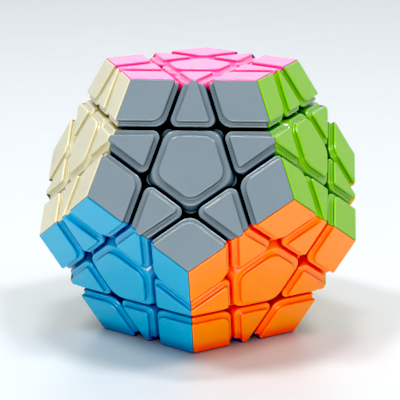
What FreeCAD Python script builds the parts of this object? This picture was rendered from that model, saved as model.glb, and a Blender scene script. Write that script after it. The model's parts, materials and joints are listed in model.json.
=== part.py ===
import FreeCAD, Part
import itertools
import math
import os
from FreeCAD import Vector

# Face-turning dodecahedron puzzle, millimetres, +Z up.
# The origin is the centre of the face that it rests on; the grey face looks along -Y.

# Overall size: distance from the puzzle's centre to each of its twelve faces.
FACE_DISTANCE = 42.0

# Every layer is cut by a plane this far from the centre, square to its face's axis.
CUT_DEPTH = 27.9

# Outer tiles: stepped plateau, border, rounded rims, thin hollow walls.
TILE_GAP = 0.3          # from each side wall to the cut plane
SEAM_GAP = 0.03         # from each colour half to the seam plane
STEP_HEIGHT = 1.3       # plateau above its border
PLATEAU_ROUND = 0.5     # top rim of the plateau
FOOT_ROUND = 0.5        # hollow at the plateau's foot
RIM_ROUND = 0.7         # outer rim of the border
RIDGE_ROUND = 0.3       # where two colours meet along the dodecahedron's edges
TILE_WALL = 1.1
CENTER_CORNER = 5.2     # radius of the cap's corners
CENTER_PLATEAU_CORNER = 4.2
CENTER_BORDER = 1.8
CORNER_CORNER = 5.0     # radius of a corner tile's inner corner
CORNER_BORDER = 1.9
EDGE_CORNER = 2.0       # radius of an edge tile's inner corners
EDGE_HOLLOW_CORNER = 0.5
EDGE_BORDER = 1.8
EDGE_TRIANGLE_BASE = 10.4
EDGE_TRIANGLE_TIP = 1.6
EDGE_TRIANGLE_CORNER = 0.8
EDGE_TRIANGLE_OVERRUN = 1.0   # past the seam, which then trims it
CAP_SKIRT = 3.6         # rounded part of the centre cap, below the face
CAP_DEPTH = 5.8         # whole cap, down to the bottom of its sharper lower tier
CAP_TIER_CORNER = 2.6

# Mechanism shells, as radii from the puzzle's centre, from the outside in.
TILE_FLOOR = 38.75
CORNER_TILE_FLOOR = 39.6
CORNER_HOOK_TOP = 33.5
CORNER_HOOK_BOTTOM = 30.8
EDGE_HOOK_TOP = 28.0
EDGE_HOOK_BOTTOM = 24.2

# Half-angles of the cones about each face's axis that the layers turn along in those shells.
STALK_CONE = 42.0
CORNER_HOOK_CONE = 46.0
EDGE_NECK_CONE = 35.0
EDGE_HOOK_CONE = 41.0

MECHANISM_CLEARANCE = 0.15   # each side, so that sliding pieces stay twice this apart
CONE_CLEARANCE = 0.27        # the same, in degrees
PLUG_FIT = 0.08              # between the foot's plug and the tiles pressed on it
PLUG_BEVEL = 0.9             # clears the rounded corners inside the tiles

# Corner feet: a three-sided stalk and hook, square to the corner.
STALK_INRADIUS = 2.4
STALK_ROUND = 4.0
CORNER_HOOK_INRADIUS = 4.4
CORNER_HOOK_ROUND = 6.2
CORNER_HOOK_LIP = 32.6
CORNER_PLUG_TOP = 44.0
CORNER_PLUG_RADIUS = 8.0
CORNER_COLLAR = 41.0

# Edge feet: a body, a neck, a hook and a pocket, square to the edge.
EDGE_HOOK_LIP = 26.8
EDGE_HOOK_HALF_LENGTH = 6.0
EDGE_PLUG_BOTTOM = 36.0
EDGE_PLUG_TOP = 42.5
EDGE_PLUG_RADIUS = 10.5
POCKET_HALF_WIDTH = 3.6
POCKET_HALF_LENGTH = 8.0
POCKET_STEP = 35.2
POCKET_DEEP_HALF_LENGTH = 4.6
POCKET_FLOOR = 32.2

# Centre bases, core and the sprung screws that hold them together.
BASE_PLATE_BOTTOM = 33.8
BASE_PLATE_FLOOR = 1.4
BASE_RECESS_RADIUS = 10.5
BASE_CUP_RADIUS = 9.0
BASE_CUP_WALL = 1.4
BASE_CUP_BOTTOM = 24.3
BASE_FLANGE_ANGLE = 28.0
BASE_FLANGE_SAG = 0.15
STEM_RADIUS = 4.6
STEM_BOTTOM = 16.3
STEM_FLOOR = 1.4
SPRING_WELL_RADIUS = 3.4
SCREW_HOLE_RADIUS = 1.75
CORE_RADIUS = 9.5
CORE_ARM_RADIUS = 3.8
CORE_ARM_TOP = 16.0
CORE_BORE_RADIUS = 1.5
SCREW_SHANK_RADIUS = 1.45
SCREW_SHANK_BOTTOM = 8.0
SCREW_HEAD_RADIUS = 2.9
SCREW_HEAD_HEIGHT = 1.8
SCREW_HEAD_ROUND = 0.6
SCREW_SOCKET_WIDTH = 2.5
SCREW_SOCKET_DEPTH = 1.2
WASHER_RADIUS = 3.1
WASHER_THICKNESS = 0.6
SPRING_SEAT_GAP = 0.05
SPRING_BOTTOM = STEM_BOTTOM + STEM_FLOOR + SPRING_SEAT_GAP
SPRING_TOP = 24.6
SPRING_WIRE_RADIUS = 0.3
SPRING_COIL_RADIUS = 2.5
SPRING_TURNS = 6

# Regular dodecahedron.
RING_ELEVATION = math.atan(0.5)
SIDE_ANGLE = 72.0
FACE_COSINE = math.sin(RING_ELEVATION)
FACE_SINE = math.cos(RING_ELEVATION)
FACE_INRADIUS = FACE_DISTANCE * math.tan(math.acos(FACE_COSINE) / 2)
BORDER_LEVEL = FACE_DISTANCE - STEP_HEIGHT
REACH = 90.0             # past every surface of the puzzle
TOLERANCE = 0.01         # for picking faces and edges by their place
ORIGIN = Vector(0, 0, 0)


def tilted(azimuth, elevation):
    """Unit vector; azimuth 0 looks along -Y and turns towards +X, elevation in radians."""
    turn = math.radians(azimuth)
    level = math.cos(elevation)
    return Vector(math.sin(turn) * level, -math.cos(turn) * level, math.sin(elevation))


UPPER_RING = ["gray", "lime", "dark_blue", "red", "cream"]
LOWER_RING = ["orange", "yellow", "white", "dark_green", "light_blue"]
FACES = {"pink": Vector(0, 0, 1), "purple": Vector(0, 0, -1)}
for place, color in enumerate(UPPER_RING):
    FACES[color] = tilted(SIDE_ANGLE * place, RING_ELEVATION)
for place, color in enumerate(LOWER_RING):
    FACES[color] = tilted(SIDE_ANGLE * (place + 0.5), -RING_ELEVATION)

# No two of these layers share a piece, so all three can turn at once.
TURNING_LAYERS = ["pink", "orange", "dark_green"]

# Every piece is drawn once on the top face A, beside its neighbours B, C and D.
A = Vector(0, 0, 1)
B = tilted(0, RING_ELEVATION)
C = tilted(SIDE_ANGLE, RING_ELEVATION)
D = tilted(-SIDE_ANGLE, RING_ELEVATION)
NEIGHBOURS = [tilted(SIDE_ANGLE * side, RING_ELEVATION) for side in range(5)]


def slab(direction, low, high):
    """The space between two planes square to a direction."""
    box = Part.makeBox(2 * REACH, 2 * REACH, high - low, Vector(-REACH, -REACH, low))
    box.Placement = FreeCAD.Placement(ORIGIN, FreeCAD.Rotation(Vector(0, 0, 1), direction))
    return box


def beyond(direction, distance):
    return slab(direction, distance, REACH)


def within(direction, distance):
    return slab(direction, -REACH, distance)


def overlap(shapes):
    """The space that all the shapes share."""
    result = shapes[0]
    for shape in shapes[1:]:
        result = result.common(shape)
    return result.Solids[0]


def rod(direction, radius, low, high):
    return Part.makeCylinder(radius, high - low, direction * low, direction)


def level_distance(plane_distance, height):
    """How far from A's axis a neighbour's layer plane passes, at a height above the centre."""
    return (plane_distance - FACE_COSINE * height) / FACE_SINE


def flat(azimuth):
    return tilted(azimuth, 0)


def seam(face, other):
    """Direction square to the plane where the colours of two faces meet, towards the first."""
    return (face - other).normalize()


# Where along an edge it is sampled: near both ends and in the middle.
EDGE_SAMPLES = (0.02, 0.5, 0.98)


def edges_where(shape, test):
    """Edges whose sampled points all pass the test."""
    found = []
    for edge in shape.Edges:
        low, high = edge.ParameterRange
        points = [edge.valueAt(low + (high - low) * share) for share in EDGE_SAMPLES]
        if all(test(point) for point in points):
            found.append(edge)
    return found


def on_planes(*planes):
    """Test for points that lie on every one of the (direction, distance) planes."""
    def test(point):
        return all(abs(point.dot(direction) - distance) < TOLERANCE for direction, distance in planes)
    return test


def round_walls(block, pairs, radius):
    """Round the upright edges where pairs of (direction, distance) walls meet."""
    chosen = []
    for first, second in pairs:
        chosen += edges_where(block, on_planes(first, second))
    return block.makeFillet(radius, chosen)


def at_height(shape, height, skip):
    """Edges of a tile's top at one height, apart from those on the skipped planes."""
    def test(point):
        free = all(abs(point.dot(direction) - distance) > TOLERANCE for direction, distance in skip)
        return abs(point.z - height) < TOLERANCE and free
    return edges_where(shape, test)


def stepped(block, plateau, skip):
    """Join a plateau to its border block and round the rim, the foot and the top."""
    body = block.fuse(plateau).removeSplitter()
    body = body.makeFillet(PLATEAU_ROUND, at_height(body, FACE_DISTANCE, skip))
    border_edges = at_height(body, BORDER_LEVEL, skip)
    foot = [edge for edge in border_edges if near(edge, plateau)]
    body = body.makeFillet(FOOT_ROUND, foot)
    border_edges = at_height(body, BORDER_LEVEL, skip)
    rim = [edge for edge in border_edges if near_walls(edge, block)]
    return body.makeFillet(RIM_ROUND, rim)


def near(edge, shape):
    low, high = edge.ParameterRange
    middle = Part.Vertex(edge.valueAt((low + high) / 2))
    return middle.distToShape(shape)[0] < TOLERANCE


def near_walls(edge, block):
    """Whether an edge lies on the block's own outline rather than inside its top."""
    low, high = edge.ParameterRange
    middle = Part.Vertex(edge.valueAt((low + high) / 2))
    outline = [side for side in block.Edges if abs(side.CenterOfMass.z - BORDER_LEVEL) < TOLERANCE]
    return middle.distToShape(Part.Compound(outline))[0] < TOLERANCE


# Centre pieces

def center_block(bottom, top, inset, corner):
    """Five-sided block under face A, its walls along the neighbours' layer planes."""
    distance = CUT_DEPTH - TILE_GAP - inset
    walls = [(direction, distance) for direction in NEIGHBOURS]
    block = overlap([slab(A, bottom, top)] + [within(*wall) for wall in walls])
    pairs = [(walls[side], walls[(side + 1) % 5]) for side in range(5)]
    return round_walls(block, pairs, corner)


def center_cap():
    """Coloured cap: a stepped five-sided plate, a skirt and a lower tier, hollow underneath."""
    skirt_bottom = FACE_DISTANCE - CAP_SKIRT
    bottom = FACE_DISTANCE - CAP_DEPTH
    block = center_block(skirt_bottom, BORDER_LEVEL, 0, CENTER_CORNER)
    plateau_distance = level_distance(CUT_DEPTH - TILE_GAP, BORDER_LEVEL) - CENTER_BORDER
    sides = [within(flat(SIDE_ANGLE * side), plateau_distance) for side in range(5)]
    plateau = overlap([slab(A, BORDER_LEVEL - STEP_HEIGHT, FACE_DISTANCE)] + sides)
    walls = [(flat(SIDE_ANGLE * side), plateau_distance) for side in range(5)]
    pairs = [(walls[side], walls[(side + 1) % 5]) for side in range(5)]
    plateau = round_walls(plateau, pairs, CENTER_PLATEAU_CORNER)
    body = stepped(block, plateau, [])
    body = body.fuse(center_block(bottom, skirt_bottom, 0, CAP_TIER_CORNER))
    hollow = center_block(bottom, BORDER_LEVEL - TILE_WALL, TILE_WALL, CENTER_CORNER - TILE_WALL)
    return body.cut(hollow).removeSplitter().Solids[0]


def polar(radius, angle):
    """A point in the XZ plane at an angle in degrees from the Z axis."""
    turn = math.radians(angle)
    return Vector(radius * math.sin(turn), 0, radius * math.cos(turn))


def cone_space(direction, angle):
    """Solid cone about a face's axis with its point at the puzzle's centre."""
    length = REACH * math.cos(math.radians(angle))
    return Part.makeCone(0, length * math.tan(math.radians(angle)), length, ORIGIN, direction)


def spun(outline):
    """Solid of revolution about A's axis."""
    return Part.Face(Part.makePolygon(outline + outline[:1])).revolve(ORIGIN, A, 360)


def center_base():
    """Black carrier under the cap: plate, flange that holds the edges, cup and stem."""
    top = FACE_DISTANCE - CAP_DEPTH
    walls = [within(direction, CUT_DEPTH - TILE_GAP) for direction in NEIGHBOURS]
    plate = overlap([slab(A, BASE_PLATE_BOTTOM, top)] + walls)
    for direction in NEIGHBOURS:
        plate = plate.cut(cone_space(direction, STALK_CONE + CONE_CLEARANCE))
    flange_top = CORNER_HOOK_BOTTOM - MECHANISM_CLEARANCE
    flange_bottom = EDGE_HOOK_TOP + MECHANISM_CLEARANCE + BASE_FLANGE_SAG
    cup = spun([
        Vector(0, 0, STEM_BOTTOM),
        Vector(STEM_RADIUS, 0, STEM_BOTTOM),
        Vector(STEM_RADIUS, 0, BASE_CUP_BOTTOM),
        Vector(BASE_CUP_RADIUS, 0, BASE_CUP_BOTTOM),
        Vector(BASE_CUP_RADIUS, 0, math.sqrt(flange_bottom ** 2 - BASE_CUP_RADIUS ** 2)),
        polar(flange_bottom, BASE_FLANGE_ANGLE),
        polar(flange_top, BASE_FLANGE_ANGLE),
        Vector(BASE_CUP_RADIUS, 0, math.sqrt(flange_top ** 2 - BASE_CUP_RADIUS ** 2)),
        Vector(BASE_CUP_RADIUS, 0, BASE_PLATE_BOTTOM + BASE_PLATE_FLOOR / 2),
        Vector(0, 0, BASE_PLATE_BOTTOM + BASE_PLATE_FLOOR / 2),
    ])
    body = plate.Solids[0].fuse(cup)
    bores = [
        (SCREW_HOLE_RADIUS, STEM_BOTTOM),
        (SPRING_WELL_RADIUS, STEM_BOTTOM + STEM_FLOOR),
        (BASE_CUP_RADIUS - BASE_CUP_WALL, BASE_CUP_BOTTOM + BASE_CUP_WALL),
        (BASE_RECESS_RADIUS, BASE_PLATE_BOTTOM + BASE_PLATE_FLOOR),
    ]
    for radius, bottom in bores:
        body = body.cut(rod(A, radius, bottom, REACH))
    return body.Solids[0]


# Edge pieces

def edge_block(height, inset, radius):
    """Block on the edge between A and B, A's half, before the seam and the floor are cut."""
    end = CUT_DEPTH - TILE_GAP - inset
    inner = CUT_DEPTH + TILE_GAP + inset
    block = overlap([slab(A, CUT_DEPTH, height), beyond(B, inner), within(C, end), within(D, end)])
    pairs = [((B, inner), (C, end)), ((B, inner), (D, end))]
    return round_walls(block, pairs, radius)


def edge_plateau():
    """Triangle that points at the dodecahedron's edge, its base along the centre cap."""
    inner = level_distance(CUT_DEPTH + TILE_GAP, BORDER_LEVEL) + EDGE_BORDER
    run = FACE_INRADIUS - inner
    slope = (EDGE_TRIANGLE_BASE - EDGE_TRIANGLE_TIP) / 2 / run
    half_base = EDGE_TRIANGLE_BASE / 2
    half_tip = EDGE_TRIANGLE_TIP / 2 - EDGE_TRIANGLE_OVERRUN * slope
    outer = FACE_INRADIUS + EDGE_TRIANGLE_OVERRUN
    low = BORDER_LEVEL - STEP_HEIGHT
    corners = [
        Vector(-half_base, -inner, low),
        Vector(half_base, -inner, low),
        Vector(half_tip, -outer, low),
        Vector(-half_tip, -outer, low),
    ]
    outline = Part.makePolygon(corners + corners[:1])
    prism = Part.Face(outline).extrude(Vector(0, 0, FACE_DISTANCE - low))

    def at_base_corner(point):
        return abs(point.y + inner) < TOLERANCE and abs(point.x) > half_base - TOLERANCE

    return prism.makeFillet(EDGE_TRIANGLE_CORNER, edges_where(prism, at_base_corner))


def split_colors(body, others):
    """Keep the part nearer to face A than to the other faces, and round its ridges."""
    ridges = []
    for other in others:
        body = body.common(beyond(seam(A, other), SEAM_GAP))
    for other in others:
        ridges += edges_where(body, on_planes((seam(A, other), SEAM_GAP), (A, FACE_DISTANCE)))
    return body.makeFillet(RIDGE_ROUND, ridges)


def edge_tile():
    """Coloured half of an edge piece: a hollow stepped shell."""
    ridge = [(B, BORDER_LEVEL), (B, FACE_DISTANCE)]
    body = stepped(edge_block(BORDER_LEVEL, 0, EDGE_CORNER), edge_plateau(), ridge)
    body = split_colors(body, [B]).cut(Part.makeSphere(TILE_FLOOR))
    hollow = edge_block(BORDER_LEVEL - TILE_WALL, TILE_WALL, EDGE_HOLLOW_CORNER)
    return body.cut(hollow).Solids[0]


# Corner pieces

# A plane past the corner, where its block and plateau stop before the seams cut them.
OUTSIDE = (flat(SIDE_ANGLE / 2), FACE_DISTANCE)


def corner_block(height, inset):
    """Block on the corner of A, B and C, A's part, before the seams and the floor are cut."""
    inner = CUT_DEPTH + TILE_GAP + inset
    block = overlap([slab(A, CUT_DEPTH, height), beyond(B, inner), beyond(C, inner), within(*OUTSIDE)])
    return round_walls(block, [((B, inner), (C, inner))], CORNER_CORNER - inset)


def corner_plateau():
    """Kite that runs right out to the dodecahedron's edges."""
    inner = level_distance(CUT_DEPTH + TILE_GAP, BORDER_LEVEL) + CORNER_BORDER
    low = BORDER_LEVEL - STEP_HEIGHT
    wedge = overlap([
        slab(A, low, FACE_DISTANCE),
        beyond(flat(0), inner),
        beyond(flat(SIDE_ANGLE), inner),
        within(*OUTSIDE),
    ])
    walls = ((flat(0), inner), (flat(SIDE_ANGLE), inner))
    return round_walls(wedge, [walls], CORNER_CORNER - CORNER_BORDER / 2)


def corner_tile():
    """Coloured third of a corner piece: a hollow stepped shell."""
    body = stepped(corner_block(BORDER_LEVEL, 0), corner_plateau(), [OUTSIDE])
    body = split_colors(body, [B, C]).cut(Part.makeSphere(CORNER_TILE_FLOOR))
    hollow = corner_block(BORDER_LEVEL - TILE_WALL, TILE_WALL)
    socket = three_sided(STALK_INRADIUS + PLUG_FIT, STALK_ROUND + PLUG_FIT, TILE_FLOOR, CORNER_COLLAR)
    return body.cut(hollow).cut(socket).Solids[0]


# Feet: the black carriers that the coloured tiles are pressed on

def plug(directions, ends, bottom, top, radius):
    """Block that fills the hollow under a piece's tiles, less a small fit."""
    fit = TILE_GAP + TILE_WALL + PLUG_FIT
    ceiling = BORDER_LEVEL - TILE_WALL - PLUG_FIT
    walls = [(direction, CUT_DEPTH + fit) for direction in directions]
    walls += [(direction * -1, fit - CUT_DEPTH) for direction in ends]
    sides = [beyond(*wall) for wall in walls]
    sides += [within(direction, ceiling) for direction in directions]
    sides += [bevel(*pair) for pair in itertools.combinations(walls, 2)]
    return overlap([rod(middle_of(directions), radius, bottom, top)] + sides)


def bevel(first, second):
    """What a bevel leaves where two inward-facing (direction, distance) walls meet."""
    across = first[0] + second[0]
    distance = (first[1] + second[1]) / across.Length
    return beyond(across.normalize(), distance + PLUG_BEVEL)


def middle_of(directions):
    total = ORIGIN
    for direction in directions:
        total = total + direction
    return total.normalize()


def edge_zone(low, high, inside, outside):
    """Stretch of an edge foot between two planes and the turning cones of its four faces."""
    zone = slab(middle_of([A, B]), low, high)
    for direction in (A, B):
        zone = zone.common(cone_space(direction, inside - CONE_CLEARANCE))
    for direction in (C, D):
        zone = zone.cut(cone_space(direction, outside + CONE_CLEARANCE))
    return min(zone.Solids, key=lambda solid: abs(solid.CenterOfMass.x))


def edge_pocket():
    """Two-step hollow in an edge foot, open towards the tiles."""
    steps = []
    for half_length, floor in [(POCKET_HALF_LENGTH, POCKET_STEP), (POCKET_DEEP_HALF_LENGTH, POCKET_FLOOR)]:
        steps.append(overlap([
            slab(middle_of([A, B]), floor, REACH),
            slab(Vector(1, 0, 0), -half_length, half_length),
            slab(seam(A, B), -POCKET_HALF_WIDTH, POCKET_HALF_WIDTH),
        ]))
    return steps[0].fuse(steps[1])


def edge_foot():
    """Body, neck and hook of an edge piece, with the plug that joins its two tiles."""
    shoulder = CORNER_HOOK_TOP + MECHANISM_CLEARANCE
    neck_top = CORNER_HOOK_BOTTOM + 2 * MECHANISM_CLEARANCE
    lowest = EDGE_HOOK_BOTTOM + MECHANISM_CLEARANCE
    body = edge_zone(shoulder, TILE_FLOOR + 1, STALK_CONE, STALK_CONE)
    body = body.common(Part.makeSphere(TILE_FLOOR - SEAM_GAP))
    body = body.fuse(edge_zone(neck_top, shoulder, STALK_CONE, CORNER_HOOK_CONE))
    body = body.fuse(edge_zone(EDGE_HOOK_LIP, neck_top, EDGE_NECK_CONE, CORNER_HOOK_CONE))
    hook = edge_zone(lowest, EDGE_HOOK_LIP, EDGE_HOOK_CONE, EDGE_HOOK_CONE)
    hook = hook.common(slab(Vector(1, 0, 0), -EDGE_HOOK_HALF_LENGTH, EDGE_HOOK_HALF_LENGTH))
    body = body.fuse(hook)
    body = body.fuse(plug([A, B], [C, D], EDGE_PLUG_BOTTOM, EDGE_PLUG_TOP, EDGE_PLUG_RADIUS))
    return body.cut(edge_pocket()).removeSplitter().Solids[0]


def three_sided(inradius, rounding, low, high):
    """Prism about the corner's axis with three flat sides and rounded corners."""
    middle = middle_of([A, B, C])
    sides = []
    for direction in (A, B, C):
        outward = middle * middle.dot(direction) - direction
        sides.append(within(outward.normalize(), inradius))
    return overlap([rod(middle, rounding, low, high)] + sides)


def corner_foot():
    """Stalk and three-sided hook of a corner piece, with the plug that joins its three tiles."""
    lowest = CORNER_HOOK_BOTTOM + 2 * MECHANISM_CLEARANCE
    body = three_sided(STALK_INRADIUS, STALK_ROUND, CORNER_HOOK_LIP, CORNER_COLLAR)
    body = body.fuse(three_sided(CORNER_HOOK_INRADIUS, CORNER_HOOK_ROUND, lowest, CORNER_HOOK_LIP))
    body = body.fuse(plug([A, B, C], [], TILE_FLOOR, CORNER_PLUG_TOP, CORNER_PLUG_RADIUS))
    return body.removeSplitter().Solids[0]


# Core, screws, springs and washers

def core():
    """Ball with an arm, bored for a screw, towards every face."""
    body = Part.makeSphere(CORE_RADIUS)
    for direction in FACES.values():
        body = body.fuse(Part.makeCylinder(CORE_ARM_RADIUS, CORE_ARM_TOP, ORIGIN, direction))
    for direction in FACES.values():
        bottom = direction * SCREW_SHANK_BOTTOM
        body = body.cut(Part.makeCylinder(CORE_BORE_RADIUS, CORE_ARM_TOP, bottom, direction))
    return body.Solids[0]


def screw():
    """Pan-head screw on face A's axis, with a six-sided socket."""
    head_bottom = SPRING_TOP + WASHER_THICKNESS
    head_top = head_bottom + SCREW_HEAD_HEIGHT
    shank = rod(A, SCREW_SHANK_RADIUS, SCREW_SHANK_BOTTOM, head_bottom)
    body = rod(A, SCREW_HEAD_RADIUS, head_bottom, head_top).fuse(shank)
    body = body.makeFillet(SCREW_HEAD_ROUND, at_height(body, head_top, []))
    flats = [within(flat(60 * side), SCREW_SOCKET_WIDTH / 2) for side in range(6)]
    socket = overlap([slab(A, head_top - SCREW_SOCKET_DEPTH, REACH)] + flats)
    return body.cut(socket).Solids[0]


def washer():
    disc = rod(A, WASHER_RADIUS, SPRING_TOP, SPRING_TOP + WASHER_THICKNESS)
    return disc.cut(rod(A, SCREW_HOLE_RADIUS, 0, REACH)).Solids[0]


def spring():
    """Compression spring round the screw, between the stem's floor and the washer."""
    height = SPRING_TOP - SPRING_BOTTOM - 2 * SPRING_WIRE_RADIUS
    path = Part.makeHelix(height / SPRING_TURNS, height, SPRING_COIL_RADIUS)
    start = Vector(SPRING_COIL_RADIUS, 0, 0)
    section = Part.Wire(Part.makeCircle(SPRING_WIRE_RADIUS, start, Vector(0, 1, 0)))
    coil = Part.Wire(path.Edges).makePipeShell([section], True, True)
    coil.translate(Vector(0, 0, SPRING_BOTTOM + SPRING_WIRE_RADIUS))
    return coil.Solids[0]


# Assembly

def placed(shape, first, second):
    """Move a piece drawn on faces A and B to two other faces that meet."""
    across = first.cross(second).normalize()
    along = first.cross(across)
    rows = []
    for row in zip(across, along, first):
        rows += list(row) + [0]
    rows[-1] = FACE_DISTANCE   # lifts the puzzle's centre above the face it rests on
    moved = shape.copy()
    moved.Placement = FreeCAD.Placement(FreeCAD.Matrix(*rows, 0, 0, 0, 1)).multiply(shape.Placement)
    return moved


def touching(first, second):
    """Whether two faces share an edge."""
    return abs(FACES[first].dot(FACES[second]) - FACE_COSINE) < TOLERANCE


def neighbours_of(name):
    return [other for other in FACES if touching(name, other)]


def face_pairs():
    names = list(FACES)
    return [(i, j) for i, j in itertools.combinations(names, 2) if touching(i, j)]


def face_triples():
    """Every corner's three faces, in the turning order of A, B and C."""
    triples = []
    for i, j, k in itertools.combinations(list(FACES), 3):
        if touching(i, j) and touching(j, k) and touching(i, k):
            if FACES[i].dot(FACES[j].cross(FACES[k])) < 0:
                j, k = k, j
            triples.append((i, j, k))
    return triples


def layer_of(names):
    """The turning layer that a piece on these faces belongs to, if any."""
    for name in names:
        if name in TURNING_LAYERS:
            return name
    return None


def add(nodes, node, shape):
    nodes.setdefault(node, []).append(shape)


def tile_node(layer, color, kind):
    if layer is None:
        return color + "_fixed_tiles"
    if color == layer:
        return layer + "_layer_" + kind + "_tiles"
    return layer + "_layer_" + color + "_tiles"


def foot_node(layer, kind):
    return kind if layer is None else layer + "_layer_" + kind


def place_centers(nodes):
    cap = center_cap()
    base = center_base()
    pieces = {"screws": screw(), "springs": spring(), "washers": washer()}
    for name, direction in FACES.items():
        beside = FACES[neighbours_of(name)[0]]
        add(nodes, name + "_center_cap", placed(cap, direction, beside))
        add(nodes, foot_node(layer_of([name]), "center_bases"), placed(base, direction, beside))
        for node, piece in pieces.items():
            add(nodes, node, placed(piece, direction, beside))


def place_edges(nodes):
    tile = edge_tile()
    foot = edge_foot()
    for pair in face_pairs():
        layer = layer_of(pair)
        first, second = [FACES[name] for name in pair]
        add(nodes, foot_node(layer, "edge_feet"), placed(foot, first, second))
        add(nodes, tile_node(layer, pair[0], "edge"), placed(tile, first, second))
        add(nodes, tile_node(layer, pair[1], "edge"), placed(tile, second, first))


def place_corners(nodes):
    tile = corner_tile()
    foot = corner_foot()
    for triple in face_triples():
        layer = layer_of(triple)
        directions = [FACES[name] for name in triple]
        add(nodes, foot_node(layer, "corner_feet"), placed(foot, directions[0], directions[1]))
        for turn in range(3):
            first = directions[turn]
            second = directions[(turn + 1) % 3]
            add(nodes, tile_node(layer, triple[turn], "corner"), placed(tile, first, second))


def main():
    nodes = {"core": [placed(core(), A, B)]}
    place_centers(nodes)
    place_edges(nodes)
    place_corners(nodes)
    os.makedirs("parts", exist_ok=True)
    for node, solids in nodes.items():
        shape = solids[0] if len(solids) == 1 else Part.Compound(solids)
        shape.exportStep("parts/" + node + ".step")


main()
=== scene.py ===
import json
import math

import bpy
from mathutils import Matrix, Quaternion, Vector


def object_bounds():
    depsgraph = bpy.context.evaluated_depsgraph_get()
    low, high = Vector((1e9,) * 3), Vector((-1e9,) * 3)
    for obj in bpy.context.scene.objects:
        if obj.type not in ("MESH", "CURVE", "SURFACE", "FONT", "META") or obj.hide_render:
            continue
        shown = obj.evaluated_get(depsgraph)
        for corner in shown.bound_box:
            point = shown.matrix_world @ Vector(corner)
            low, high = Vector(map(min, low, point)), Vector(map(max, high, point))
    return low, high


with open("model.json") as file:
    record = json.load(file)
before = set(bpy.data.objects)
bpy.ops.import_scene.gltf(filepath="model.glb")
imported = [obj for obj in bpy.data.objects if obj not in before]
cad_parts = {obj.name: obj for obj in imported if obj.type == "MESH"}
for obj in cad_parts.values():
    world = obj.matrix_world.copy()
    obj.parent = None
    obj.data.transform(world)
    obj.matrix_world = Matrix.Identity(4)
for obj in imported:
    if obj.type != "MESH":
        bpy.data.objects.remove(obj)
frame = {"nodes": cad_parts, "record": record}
cad_low, cad_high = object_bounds()
centre = (cad_low + cad_high) / 2

# Colour of each face's plastic, linear.
COLORS = {
    "pink": (0.93, 0.17, 0.47),
    "gray": (0.174, 0.223, 0.254),
    "lime": (0.215, 0.51, 0.0),
    "dark_blue": (0.004, 0.035, 0.27),
    "red": (0.58, 0.008, 0.006),
    "cream": (0.68, 0.635, 0.44),
    "orange": (1.0, 0.25, 0.0),
    "yellow": (0.90, 0.55, 0.004),
    "white": (0.80, 0.81, 0.80),
    "dark_green": (0.002, 0.17, 0.035),
    "light_blue": (0.001, 0.38, 0.62),
    "purple": (0.13, 0.012, 0.30),
}
BLACK = (0.006, 0.006, 0.007)
STEEL = (0.56, 0.57, 0.59)
FLOOR = (0.57, 0.597, 0.612)

PLASTIC_DEPTH = 0.0016      # how far light spreads inside the plastic
PAINTED_SHADE_REACH = 0.005       # how far off a wall the painted gap shade still deepens a surface's colour
TILE_RUB_RADIUS = 0.00025   # how wide handling rubs the tiles' edges
CARRIER_RUB_RADIUS = 0.0003
RUBBED_BLACK = (0.03, 0.03, 0.032)
FLAT_COSINE = 0.98          # between a bevelled normal and the true one, on flat ground
SHARP_COSINE = 0.8          # and where an edge counts as fully sharp
OPEN_SIGHT = 0.93           # share of its surroundings that a point in the open sees
SHUT_SIGHT = 0.42           # and that a point deep in a gap sees

# Height of the fine relief on each surface.
GRAIN_DEPTH = 0.000003
PEEL_DEPTH = 0.000004
CARRIER_GRAIN_DEPTH = 0.00001
SCRATCH_DEPTH = 0.000006
PAPER_TOOTH_DEPTH = 0.00002

# Studio: a floor, a room with a bright wall behind the object, and softboxes.
FLOOR_REACH = 3.0
ROOM_COLOR = (0.94, 0.975, 1.0)
ROOM_STRENGTH = 0.46
WALL_STRENGTH = 0.9
WALL_DIRECTION = Vector((0, 0.96, 0.28)).normalized()
WALL_EDGE = 0.65            # cosines of the angles off the wall's middle where it starts
WALL_MIDDLE = 0.98          # and where it is at its brightest
BLACK_LEVEL = 0.035         # the darkest light that is not shown as black

# Place, width, height and watts of each softbox.
SOFTBOXES = {
    "left_softbox": ((-0.5, -0.22, 1.2), 0.25, 0.25, 7.5),
    "right_softbox": ((0.5, -0.22, 1.2), 0.25, 0.25, 7),
    "top_softbox": ((0.0, 0.1, 1.4), 0.3, 0.2, 6),
    "front_softbox": ((0.0, -1.6, 0.15), 1.3, 0.25, 15),
    "back_softbox": ((0.0, 1.7, 1.1), 1.6, 0.4, 6.5),
}

# Camera: a long lens, a little above the object and almost square to the grey face.
CAMERA_AZIMUTH = math.radians(3.88)
CAMERA_ELEVATION = math.radians(14.83)
CAMERA_ROLL = math.radians(-0.21)
CAMERA_DISTANCE = 0.513
CAMERA_OFFSET = Vector((0.00002, -0.00178, 0))   # to its own right and up
FOCAL_LENGTH = 145.35
SENSOR_WIDTH = 36


# Materials


def new_material(name):
    """An empty node material with its shader linked to the output."""
    material = bpy.data.materials.new(name)
    material.use_nodes = True
    tree = material.node_tree
    tree.nodes.clear()
    output = tree.nodes.new("ShaderNodeOutputMaterial")
    shader = tree.nodes.new("ShaderNodeBsdfPrincipled")
    tree.links.new(shader.outputs["BSDF"], output.inputs["Surface"])
    return material, tree, shader


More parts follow.
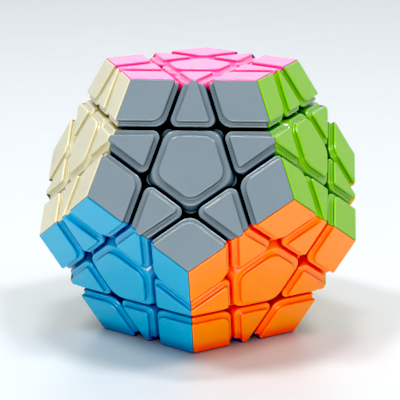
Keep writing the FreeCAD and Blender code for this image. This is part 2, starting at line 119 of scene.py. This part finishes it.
def noise(tree, scale, detail, roughness=0.5, stretch=None):
    """Noise in the object's own space, so its scale is in cycles per metre."""
    coordinates = tree.nodes.new("ShaderNodeTexCoord").outputs["Object"]
    if stretch:
        mapping = tree.nodes.new("ShaderNodeMapping")
        mapping.inputs["Scale"].default_value = stretch
        tree.links.new(coordinates, mapping.inputs["Vector"])
        coordinates = mapping.outputs["Vector"]
    texture = tree.nodes.new("ShaderNodeTexNoise")
    texture.inputs["Scale"].default_value = scale
    texture.inputs["Detail"].default_value = detail
    texture.inputs["Roughness"].default_value = roughness
    tree.links.new(coordinates, texture.inputs["Vector"])
    return texture.outputs["Fac"]


def remap(tree, value, source, target):
    """Stretch a value from one range to another, clamped at its ends."""
    node = tree.nodes.new("ShaderNodeMapRange")
    node.inputs["From Min"].default_value, node.inputs["From Max"].default_value = source
    node.inputs["To Min"].default_value, node.inputs["To Max"].default_value = target
    tree.links.new(value, node.inputs["Value"])
    return node.outputs["Result"]


def mix(tree, factor, first, second):
    """Blend two colours, each a tuple or a socket."""
    node = tree.nodes.new("ShaderNodeMix")
    node.data_type = "RGBA"
    tree.links.new(factor, node.inputs["Factor"])
    # A mix node has sockets for every type of value, and these are its colour ones.
    first_socket, second_socket, result = node.inputs[6], node.inputs[7], node.outputs[2]
    for socket, color in ((first_socket, first), (second_socket, second)):
        if isinstance(color, tuple):
            socket.default_value = (*color, 1)
        else:
            tree.links.new(color, socket)
    return result


def product(tree, first, second):
    """Two values multiplied."""
    node = tree.nodes.new("ShaderNodeMath")
    node.operation = "MULTIPLY"
    tree.links.new(first, node.inputs[0])
    tree.links.new(second, node.inputs[1])
    return node.outputs[0]


def bump(tree, height, distance, strength, below=None):
    """A normal roughened by a height, over the normal below it if there is one."""
    node = tree.nodes.new("ShaderNodeBump")
    node.inputs["Distance"].default_value = distance
    node.inputs["Strength"].default_value = strength
    tree.links.new(height, node.inputs["Height"])
    if below:
        tree.links.new(below, node.inputs["Normal"])
    return node.outputs["Normal"]


def edge_mask(tree, radius):
    """1 on sharp outer edges and inner corners, 0 on flat ground."""
    bevel = tree.nodes.new("ShaderNodeBevel")
    bevel.samples = 4
    bevel.inputs["Radius"].default_value = radius
    geometry = tree.nodes.new("ShaderNodeNewGeometry")
    dot = tree.nodes.new("ShaderNodeVectorMath")
    dot.operation = "DOT_PRODUCT"
    tree.links.new(bevel.outputs["Normal"], dot.inputs[0])
    tree.links.new(geometry.outputs["Normal"], dot.inputs[1])
    return remap(tree, dot.outputs["Value"], (FLAT_COSINE, SHARP_COSINE), (0.0, 1.0))


def painted_gap_shade_mask(tree, reach):
    """Where shade is painted into the colour: 1 deep in gaps and at the foot of steps, 0 in
    the open, from ambient occlusion.
    """
    occlusion = tree.nodes.new("ShaderNodeAmbientOcclusion")
    occlusion.samples = 8
    occlusion.inputs["Distance"].default_value = reach
    return remap(tree, occlusion.outputs["AO"], (OPEN_SIGHT, SHUT_SIGHT), (0.0, 1.0))


def gap_shade_color(color):
    """The colour after light has bounced off it twice, as inside a gap; painted into gaps as
    shade.
    """
    return tuple(channel * channel for channel in color)


def shaded(color, share):
    """The colour darkened or lightened to a share of itself."""
    return tuple(channel * share for channel in color)


def paled(color, share):
    """The colour moved a share of the way to white."""
    return tuple(channel + (1 - channel) * share for channel in color)


def moulded_plastic(name, color):
    """Glossy coloured plastic: faint flow marks, handling haze, rubbed edges, and painted
    shade that deepens its colour in gaps and at the foot of steps.
    """
    material, tree, shader = new_material(name)
    flow = remap(tree, noise(tree, scale=70, detail=3), (0.1, 0.9), (0.0, 1.0))
    base = mix(tree, flow, shaded(color, 0.95), shaded(color, 1.03))
    speckle = remap(tree, noise(tree, scale=2600, detail=2), (0.45, 0.75), (0.0, 0.2))
    base = mix(tree, speckle, base, shaded(color, 0.75))
    rubbed = remap(tree, noise(tree, scale=500, detail=3), (0.4, 0.7), (0.04, 0.12))
    rubbed = product(tree, edge_mask(tree, TILE_RUB_RADIUS), rubbed)
    base = mix(tree, rubbed, base, paled(color, 0.3))
    # Painted shade: the colour deepens towards its square in gaps and at the foot of steps,
    # where shade falls.
    base = mix(tree, painted_gap_shade_mask(tree, PAINTED_SHADE_REACH), base, gap_shade_color(color))
    tree.links.new(base, shader.inputs["Base Color"])
    haze = remap(tree, noise(tree, scale=35, detail=2), (0.1, 0.9), (0.18, 0.30))
    tree.links.new(haze, shader.inputs["Roughness"])
    grain = bump(tree, noise(tree, scale=5200, detail=2), GRAIN_DEPTH, 0.5)
    peel = bump(tree, noise(tree, scale=300, detail=2), PEEL_DEPTH, 0.5, below=grain)
    tree.links.new(peel, shader.inputs["Normal"])
    shader.inputs["Specular IOR Level"].default_value = 0.45
    shader.inputs["Coat Weight"].default_value = 0.6
    shader.inputs["Coat Roughness"].default_value = 0.08
    shader.inputs["Subsurface Weight"].default_value = 0.3
    shader.inputs["Subsurface Radius"].default_value = color
    shader.inputs["Subsurface Scale"].default_value = PLASTIC_DEPTH
    return material


def black_plastic(name):
    """Fine-grained black carrier plastic with faint flow marks and paler rubbed edges."""
    material, tree, shader = new_material(name)
    flow = remap(tree, noise(tree, scale=160, detail=4, roughness=0.6), (0.3, 0.7), (0.0, 1.0))
    base = mix(tree, flow, BLACK, shaded(BLACK, 1.8))
    base = mix(tree, edge_mask(tree, CARRIER_RUB_RADIUS), base, RUBBED_BLACK)
    tree.links.new(base, shader.inputs["Base Color"])
    clouding = noise(tree, scale=300, detail=4, roughness=0.6)
    haze = remap(tree, clouding, (0.35, 0.65), (0.34, 0.5))
    tree.links.new(haze, shader.inputs["Roughness"])
    grain = bump(tree, noise(tree, scale=3500, detail=3), CARRIER_GRAIN_DEPTH, 0.6)
    tree.links.new(grain, shader.inputs["Normal"])
    return material


def plated_steel(name):
    """Bright plated steel with fine turned scratches and a little dulling."""
    material, tree, shader = new_material(name)
    clouding = noise(tree, scale=900, detail=4, roughness=0.6)
    patches = remap(tree, clouding, (0.35, 0.65), (0.0, 1.0))
    tree.links.new(mix(tree, patches, STEEL, shaded(STEEL, 0.78)), shader.inputs["Base Color"])
    scratches = noise(tree, scale=2500, detail=3, stretch=(1, 1, 8))
    dulling = remap(tree, scratches, (0.3, 0.7), (0.2, 0.38))
    tree.links.new(dulling, shader.inputs["Roughness"])
    tree.links.new(bump(tree, scratches, SCRATCH_DEPTH, 0.6), shader.inputs["Normal"])
    shader.inputs["Metallic"].default_value = 1.0
    return material


def floor_paper(name):
    """Pale matt backdrop paper with a barely visible tooth."""
    material, tree, shader = new_material(name)
    clouds = remap(tree, noise(tree, scale=6, detail=3), (0.3, 0.7), (0.0, 1.0))
    tree.links.new(mix(tree, clouds, FLOOR, shaded(FLOOR, 0.985)), shader.inputs["Base Color"])
    tooth = bump(tree, noise(tree, scale=1800, detail=2), PAPER_TOOTH_DEPTH, 0.3)
    tree.links.new(tooth, shader.inputs["Normal"])
    haze = remap(tree, noise(tree, scale=30, detail=2), (0.3, 0.7), (0.42, 0.5))
    tree.links.new(haze, shader.inputs["Roughness"])
    shader.inputs["Specular IOR Level"].default_value = 0.3
    return material


def dress_nodes():
    """Give every CAD node the finished material of its slot."""
    made = {"black_plastic": black_plastic("black_plastic_finish")}
    made["steel"] = plated_steel("steel_finish")
    for color, value in COLORS.items():
        made[color + "_plastic"] = moulded_plastic(color + "_plastic_finish", value)
    slots = {part["node"]: part["material_slot"] for part in frame["record"]["subparts"]}
    for name, node in frame["nodes"].items():
        node.data.materials.clear()
        node.data.materials.append(made[slots[name]])


# Studio


def make_floor():
    """Large flat sheet under the object."""
    mesh = bpy.data.meshes.new("floor")
    sides = [(-1, -1), (1, -1), (1, 1), (-1, 1)]
    corners = [(x * FLOOR_REACH, y * FLOOR_REACH, 0) for x, y in sides]
    mesh.from_pydata(corners, [], [(0, 1, 2, 3)])
    mesh.materials.append(floor_paper("floor_paper"))
    floor = bpy.data.objects.new("floor", mesh)
    bpy.context.scene.collection.objects.link(floor)


def softbox(name, place, width, height, power):
    """Rectangular soft light aimed at the object's middle."""
    light = bpy.data.lights.new(name, "AREA")
    light.shape = "RECTANGLE"
    light.size = width
    light.size_y = height
    light.energy = power
    lamp = bpy.data.objects.new(name, light)
    lamp.location = place
    lamp.rotation_euler = (centre - Vector(place)).to_track_quat("-Z", "Y").to_euler()
    bpy.context.scene.collection.objects.link(lamp)


def light_studio():
    """The room's light, the softboxes and the way the picture shows light."""
    world = bpy.data.worlds.new("studio")
    world.use_nodes = True
    tree = world.node_tree
    background = tree.nodes["Background"]
    background.inputs["Color"].default_value = (*ROOM_COLOR, 1)
    direction = tree.nodes.new("ShaderNodeTexCoord").outputs["Generated"]
    towards = tree.nodes.new("ShaderNodeVectorMath")
    towards.operation = "DOT_PRODUCT"
    towards.inputs[1].default_value = WALL_DIRECTION
    tree.links.new(direction, towards.inputs[0])
    angles = (WALL_EDGE, WALL_MIDDLE)
    strength = remap(tree, towards.outputs["Value"], angles, (ROOM_STRENGTH, WALL_STRENGTH))
    tree.links.new(strength, background.inputs["Strength"])
    bpy.context.scene.world = world
    for name, shape in SOFTBOXES.items():
        softbox(name, *shape)
    view = bpy.context.scene.view_settings
    view.view_transform = "Standard"
    view.use_curve_mapping = True
    view.curve_mapping.black_level = (BLACK_LEVEL, BLACK_LEVEL, BLACK_LEVEL)


def make_camera():
    """The scene's camera, aimed past the object's centre by the camera's offset."""
    level = math.cos(CAMERA_ELEVATION)
    back = Vector((
        math.sin(CAMERA_AZIMUTH) * level,
        -math.cos(CAMERA_AZIMUTH) * level,
        math.sin(CAMERA_ELEVATION),
    ))
    turn = (-back).to_track_quat("-Z", "Y") @ Quaternion((0, 0, 1), CAMERA_ROLL)
    data = bpy.data.cameras.new("camera")
    data.lens = FOCAL_LENGTH
    data.sensor_width = SENSOR_WIDTH
    camera = bpy.data.objects.new("camera", data)
    camera.rotation_mode = "QUATERNION"
    camera.rotation_quaternion = turn
    camera.location = centre + back * CAMERA_DISTANCE + turn @ CAMERA_OFFSET
    bpy.context.scene.collection.objects.link(camera)
    bpy.context.scene.camera = camera


dress_nodes()
make_floor()
light_studio()
make_camera()
